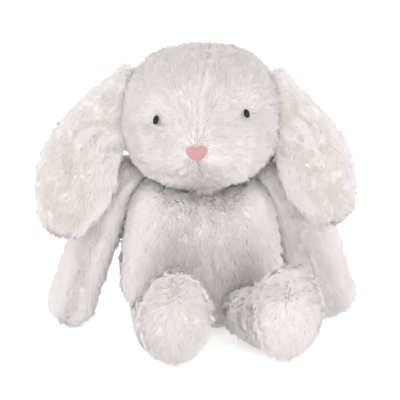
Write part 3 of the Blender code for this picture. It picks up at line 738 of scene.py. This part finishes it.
ear = {
    "line": {                       # from the head to the tip, measured from the ear's joint
        "left": ((0.0230, 0.003, -0.0060), (-0.0025, 0.001, -0.0285), (-0.0190, -0.006, -0.0510),
                 (-0.0265, -0.013, -0.0755), (-0.0330, -0.018, -0.0945)),
        "right": ((-0.0205, 0.003, -0.0060), (0.0010, 0.001, -0.0300), (0.0140, -0.006, -0.0515),
                  (0.0213, -0.013, -0.0715), (0.0270, -0.017, -0.0870))},
    "halfWidths": {"left": (0.0215, 0.0222, 0.0264, 0.0278, 0.0195),
                   "right": (0.0195, 0.0205, 0.0252, 0.0250, 0.0180)},
    "halfDepths": (0.0060, 0.0075, 0.0060, 0.0050, 0.0045),
    "rootCap": 0.008,
    "tipCap": {"left": 0.0155, "right": 0.0135},
    "bend": {"left": ((0.016, 0.0, -0.005), (-0.018, 0.0, -0.040)),
             "right": ((-0.016, 0.0, -0.005), (0.016, 0.0, -0.040))},
    "creases": {                    # on the side that shows, as x and z from the joint
        "left": (((0.0060, -0.0275), (-0.0035, -0.0262), (-0.0175, -0.0315), (-0.0245, -0.0370)),
                 ((0.0065, -0.0440), (-0.0035, -0.0480))),
        "right": (((0.0030, -0.0220), (0.0130, -0.0300), (0.0200, -0.0440)),
                  ((-0.0050, -0.0460), (0.0060, -0.0420)))},
    "creaseDepth": 0.0034,
    "creaseWidth": 0.0048,
    "puffs": {                      # x and z from the joint, reach and rise
        "left": ((-0.0115, -0.0405, 0.0105, 0.0050), (-0.0240, -0.0700, 0.0180, 0.0022)),
        "right": ((0.0020, -0.0350, 0.0080, 0.0026), (0.0150, -0.0640, 0.0180, 0.0026))},
    "cuts": 39,
    "coat": {"Seed": 11},
}


def makeEar(side):
    joint = jointPlace[f"ear_{side}_lift"]
    ball, faces = quadBall(ear["cuts"])
    line = np.array(ear["line"][side]) + joint
    points, tangent, share, across, _ = sweptForm(
        ball, line, ear["halfWidths"][side], ear["halfDepths"], ear["rootCap"], ear["tipCap"][side])
    faces = outward(points, faces)
    normals = vertexNormals(points, faces)
    flat = points[:, [0, 2]] - joint[[0, 2]]
    seen = smoothStep(-normals[:, 1], -0.2, 0.5)
    crease = np.min([lineDistance(flat, line) for line in ear["creases"][side]], axis=0)
    points[:, 1] += ear["creaseDepth"] * bell(crease, ear["creaseWidth"]) * seen
    for x, z, reach, rise in ear["puffs"][side]:
        points[:, 1] -= rise * bell(np.hypot(flat[:, 0] - x, flat[:, 1] - z), reach) * seen
    normals = vertexNormals(points, faces)
    edge = smoothStep(np.abs(across), 0.012, 0.026)
    comb = combed(tangent + normals * (0.35 * edge)[:, None], normals)
    tip = smoothStep(share, 0.55, 1.0)
    pile = 0.92 + 0.35 * tip * edge
    seam = np.full(len(points), 0.05)
    nodes = [f"ear_{side}_back", f"ear_{side}_lining"]
    bend = ("head", f"ear_{side}", *(np.array(place) + joint for place in ear["bend"][side]))
    form = points, faces, comb, pile, seam
    dress(f"ear_{side}", form, bend, nodes, pinkPile, None, ear["coat"])


arm = {
    "inset": 0.0042,
    "line": {                       # from under the ear to the hand, measured from the shoulder
        "left": ((0.0175, 0.003, 0.0150), (0.0045, 0.002, -0.0040), (-0.0095, -0.006, -0.0400),
                 (-0.0230, -0.016, -0.0785)),
        "right": ((-0.0175, 0.003, 0.0150), (-0.0055, 0.002, -0.0040), (0.0065, 0.006, -0.0380),
                  (0.0245, 0.010, -0.0785))},
    "halfWidths": {"left": (0.0185, 0.0212, 0.0200, 0.0195), "right": (0.0190, 0.0245, 0.0268, 0.0215)},
    "halfDepth": 0.0180,
    "rootCap": 0.016,
    "handCap": 0.0190,
    "seamShift": {"left": 0.0, "right": 0.0035},
    "seamDepth": 0.0008,
    "notch": 0.0012,
    "cuts": 39,
    "coat": {"Seed": 21},
}


def makeArm(side):
    inset = arm["inset"]
    joint = jointPlace[f"arm_{side}_lift"]
    ball, faces = quadBall(arm["cuts"])
    widths = np.array(arm["halfWidths"][side]) - inset
    depths = np.full(len(widths), arm["halfDepth"] - inset)
    line = np.array(arm["line"][side])
    local, tangent, _, across, _ = sweptForm(
        ball, line, widths, depths, arm["rootCap"] - inset, arm["handCap"] - inset)
    beside = across - arm["seamShift"][side]
    handEnd = smoothStep((local - line[-1]) @ unit(line[-1] - line[-2]), 0.0, 0.01)
    local -= tangent * (arm["notch"] * bell(across, 0.0045) * handEnd)[:, None]
    faces = outward(local, faces)
    normals = vertexNormals(local, faces)
    seam = np.where(local[:, 1] < line[0][1], np.abs(beside), 0.05)
    local -= normals * (arm["seamDepth"] * bell(seam, 0.0028))[:, None]
    aside = np.cross(tangent, normals)
    comb = tangent - aside * (0.20 * np.sign(beside) * bell(beside, 0.005))[:, None]
    comb = combed(comb, normals)
    nodes = [f"arm_{side}_outer", f"arm_{side}_inner"]
    start, end = joint + line[0] * 0.8, joint + line[1] + (line[2] - line[1]) * 0.5
    form = local + joint, faces, comb, np.ones(len(local)), seam
    dress(f"arm_{side}", form, ("torso", f"arm_{side}", start, end), nodes, creamPile,
          None, arm["coat"])


leg = {
    "inset": 0.0046,
    "hipRadius": 0.0225,
    "hipHeight": 0.0236,
    "ankleRadius": 0.0215,
    "ankleAt": 0.022,
    "footAt": 0.052,
    "footHalfWidth": 0.0305,
    "footHalfHeight": 0.0375,
    "soleBulge": 0.0165,
    "floorGap": 0.0005,
    "turn": {"left": 8.0, "right": 24.0},
    "thigh": {"left": -0.0070, "right": -0.0075},      # how far the thigh swells towards -X
    "cuts": 39,
    "coat": {"Seed": 31},
}


def makeLeg(side):
    inset = leg["inset"]
    ball, faces = quadBall(leg["cuts"])
    footRise = leg["footHalfHeight"] + leg["floorGap"] - leg["hipHeight"]
    ankleRise = leg["ankleRadius"] + leg["floorGap"] - leg["hipHeight"]
    line = [(0.0, 0.0, 0.0), (0.0, -leg["ankleAt"], ankleRise),
            (0.0, -(leg["ankleAt"] + leg["footAt"]) / 2, footRise * 0.6), (0.0, -leg["footAt"], footRise)]
    ankle = leg["ankleRadius"]
    instepWidth = (ankle + leg["footHalfWidth"]) / 2 + 0.002
    instepHeight = (ankle + leg["footHalfHeight"]) / 2 + 0.002
    widths = np.array([leg["hipRadius"], ankle, instepWidth, leg["footHalfWidth"]])
    heights = np.array([leg["hipRadius"], ankle, instepHeight, leg["footHalfHeight"]])
    local, tangent, share, across, through = sweptForm(
        ball, line, widths - inset, heights - inset, leg["hipRadius"] - inset, leg["soleBulge"] - inset,
        np.array([1.0, 0.0, 0.0]))
    swell = leg["thigh"][side]
    outer = smoothStep(across * np.sign(swell), -0.010, 0.018)
    outer = outer * (0.35 + 0.65 * smoothStep(through, -0.008, 0.014))
    local[:, 0] += swell * outer * (1 - smoothStep(share, 0.25, 0.75))
    faces = outward(local, faces)
    normals = vertexNormals(local, faces)
    sole = smoothStep(-normals[:, 1], 0.35, 0.8) * smoothStep(share, 0.8, 1.0)
    middle = np.array([0.0, -leg["footAt"], footRise])
    spread = local - middle
    spread[:, 1] = 0.0
    whorl = smoothStep(np.linalg.norm(spread, axis=1), 0.0, 0.020)      # the pile stands up in the middle
    comb = tangent * (1 - sole)[:, None] + unit(spread) * (0.75 * sole * whorl)[:, None]
    comb[:, 2] -= 0.65 * sole
    comb = combed(comb, normals)
    under = smoothStep(-normals[:, 2], 0.5, 0.95)
    # shorter pile underneath, which the fur tree also darkens as painted shade
    pile = 1.0 - 0.6 * under
    rotation = turn(0.0, 0.0, leg["turn"][side])
    points = local @ rotation.T + jointPlace[f"leg_{side}_swing"]
    nodes = [f"leg_{side}_outer", f"leg_{side}_inner"]
    form = points, faces, comb @ rotation.T, pile, np.full(len(points), 0.05)
    dress(f"leg_{side}", form, f"leg_{side}", nodes, creamPile, None, leg["coat"])


tail = {"inset": 0.0044, "cuts": 15}


def makeTail():
    low, high = boxOf("tail_cover")
    centre, halves = (low + high) / 2, (high - low) / 2 - tail["inset"]
    ball, faces = quadBall(tail["cuts"])
    local = ball * halves
    faces = outward(local, faces)
    normals = vertexNormals(local, faces)
    comb = combed(local - np.array([0.0, -0.02, -0.004]), normals)
    form = local + centre, faces, comb, np.full(len(local), 1.05), np.full(len(local), 0.05)
    dress("tail", form, "torso", ["tail_cover"], creamPile, None, {"Seed": 41})


def makeNeck():
    low, high = boxOf("neck_stuffing")
    centre, halves = (low + high) / 2, (high - low) / 2
    ball, faces = quadBall(15)
    local = squared(ball, 2.6) * (halves + 0.0012)
    faces = outward(local, faces)
    normals = vertexNormals(local, faces)
    comb = combed(np.tile([0.0, 0.0, -1.0], (len(local), 1)), normals)
    pile = np.full(len(local), 0.8) * smoothStep(np.hypot(local[:, 0], local[:, 1]), 0.008, 0.014)
    form = local + centre, faces, comb, pile, np.full(len(local), 0.05)
    dress("neck", form, "neck", ["neck_stuffing"], creamPile, None, {"Seed": 51})


eye = {
    "halfWidth": 0.0020,            # what the pile leaves of the bead
    "halfHeight": 0.0034,
    "dome": 0.0028,
    "forward": 0.0004,
    "tilt": {"left": 14.0, "right": -20.0},
    "cuts": 15,
}


def makeEye(side):
    low, high = boxOf(f"eye_{side}")
    middle = (low + high) / 2
    ball, faces = quadBall(eye["cuts"])
    bead = squared(ball, 2.2) * (eye["halfWidth"], eye["dome"], eye["halfHeight"])
    place = np.array([middle[0], low[1] + eye["dome"] - eye["forward"], middle[2]])
    points = bead @ turn(0.0, eye["tilt"][side], 0.0).T + place
    piece = newSkin(f"eye_bead_{side}", points, outward(bead, faces), beadGloss)
    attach(piece, "head")
    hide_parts(f"eye_{side}", f"eye_washer_{side}")


nose = {
    "halfWidth": 0.0078,
    "halfHeight": 0.0056,
    "halfDepth": 0.0022,
    "lobes": 0.10,
    "notch": 0.34,
    "notchWidth": 0.42,
    "threads": 26,
    "threadRadius": 0.00030,
    "threadSteps": 12,
    "sides": 6,
}
mouth = {"radius": 0.00060, "wander": (0.0, 0.0012, 0.0008, 0.0030, 0.0042), "sides": 8, "lift": 0.0006}


def makeThreadTree():               # follows each line of points with a round thread
    tree, given = newTree("thread", {"Radius": "Float", "Sides": "Int", "Material": "Material"})
    wire = Wire(tree)
    lines = wire.add("GeometryNodeMeshToCurve", None, {"Mesh": given["Geometry"]})
    ring = wire.add("GeometryNodeCurvePrimitiveCircle", None,
                    {"Resolution": given["Sides"], "Radius": given["Radius"]})
    thread = wire.add("GeometryNodeCurveToMesh", None,
                      {"Curve": lines, "Profile Curve": ring, "Fill Caps": True})
    thread = wire.add("GeometryNodeRealizeInstances", None, {"Geometry": thread})
    thread = wire.add("GeometryNodeSetShadeSmooth", None, {"Geometry": thread, "Shade Smooth": True})
    thread = wire.add("GeometryNodeSetMaterial", None, {"Geometry": thread, "Material": given["Material"]})
    finishTree(tree, thread)
    return tree


def sewThreads(name, lines, radius, ringSides, material, node):
    points = np.concatenate(lines)
    starts = np.cumsum([0] + [len(line) for line in lines[:-1]])
    edges = [(start + i, start + i + 1) for start, line in zip(starts, lines) for i in range(len(line) - 1)]
    mesh = bpy.data.meshes.new(name)
    mesh.from_pydata(points.tolist(), edges, [])
    source = bpy.data.objects.new(name + "_source", mesh)
    bpy.context.scene.collection.objects.link(source)
    made = applied(name, source, threadTree, {"Radius": radius, "Sides": ringSides, "Material": material})
    bpy.data.objects.remove(source)
    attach(made, "head")
    if node:
        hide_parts(node)


def noseReach(angle):               # a heart: two lobes on top, a point below
    lobes = 1 + nose["lobes"] * np.sin(3 * angle)
    notch = nose["notch"] * bell(np.angle(np.exp(1j * (angle - math.pi / 2))), nose["notchWidth"])
    return lobes - notch


def makeNose(rotation):
    low, high = boxOf("nose")
    centre = (low + high) / 2
    ball, faces = quadBall(23)
    reach = noseReach(np.arctan2(ball[:, 2], ball[:, 0]))
    pad = ball * (nose["halfWidth"], nose["halfDepth"], nose["halfHeight"])
    pad[:, 0] *= reach
    pad[:, 2] *= reach
    faces = outward(pad, faces)
    piece = newSkin("nose_pad", pad @ rotation.T + centre, faces, pinkSatin)
    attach(piece, "head")
    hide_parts("nose")
    lines = []
    for across in np.linspace(-0.94, 0.94, nose["threads"]):
        x = across * nose["halfWidth"] * 0.97
        inside = [z for z in np.linspace(-1.3, 1.3, 260) * nose["halfHeight"]
                  if np.hypot(x / nose["halfWidth"], z / nose["halfHeight"])
                  < noseReach(np.arctan2(z / nose["halfHeight"], x / nose["halfWidth"])) * 0.985]
        if len(inside) < 8:
            continue
        z = np.linspace(inside[0], inside[-1], nose["threadSteps"])
        out = np.hypot(x / nose["halfWidth"], z / nose["halfHeight"]) / noseReach(
            np.arctan2(z / nose["halfHeight"], x / nose["halfWidth"]))
        y = -nose["halfDepth"] * np.sqrt(np.clip(1 - out ** 2, 0, 1)) - nose["threadRadius"] * 0.25
        lines.append(np.stack([np.full(len(z), x), y, z], 1) @ rotation.T + centre)
    sewThreads("nose_stitches", lines, nose["threadRadius"], nose["sides"], pinkSatin, None)


def makeMouth():
    low, high = boxOf("mouth_thread")
    z = np.linspace(high[2], low[2], 9)
    share = np.linspace(0, 1, len(mouth["wander"]))
    x = (low[0] + high[0]) / 2 + np.interp(np.linspace(0, 1, 9), share, mouth["wander"]) - 0.0010
    y = np.interp(z, [low[2], high[2]], [low[1], low[1]]) - mouth["lift"]
    lines = [np.stack([x, y + (z - high[2]) * -0.10, z], 1)]
    sewThreads("mouth_stitch", lines, mouth["radius"], mouth["sides"], mauveThread, "mouth_thread")


bpy.context.scene.view_settings.view_transform = "Standard"
addWorld()
addCamera()
addLamps()
addFloor()

creamTips = [(0.0, pileLook["pinkTip"]), (0.45, pileLook["creamTip"]), (0.9, pileLook["whiteTip"])]
pinkTips = [(0.0, (0.90, 0.835, 0.815)), (0.55, (0.915, 0.862, 0.838)), (1.0, pileLook["creamTip"])]
creamPile = makePileMaterial("cream_pile", creamTips)
pinkPile = makePileMaterial("lining_pile", pinkTips)
# the backing's dark colour is painted shade deep in the coat
shadedBacking = makeClothMaterial("knitted_backing_painted_shade", backingShadeLook["light"], backingShadeLook["dark"],
                            backingShadeLook["knitScale"], backingShadeLook["bump"])
beanCloth = makeClothMaterial("bean_bag_cotton", beanLook["light"], beanLook["dark"],
                              beanLook["knitScale"], beanLook["bump"])
beadGloss = makeBeadMaterial()
pinkSatin = makeThreadMaterial("pink_satin_thread", threadLook["light"], threadLook["dark"])
mauveThread = makeThreadMaterial("mauve_thread", threadLook["mauveLight"], threadLook["mauveDark"])
print("materials made")

furTree = makeFurTree()
blade = makeBlade()
threadTree = makeThreadTree()
headTurn = makeHead()
makeTorso()
for side in sides:
    makeEar(side)
    makeArm(side)
    makeLeg(side)
    makeEye(side)
makeTail()
makeNeck()
makeNose(headTurn)
makeMouth()
bpy.data.objects.remove(blade)
print("pieces made")

for holder in bpy.data.objects["seat_bean_bag"].material_slots:    # the one CAD solid still showing
    holder.material = beanCloth
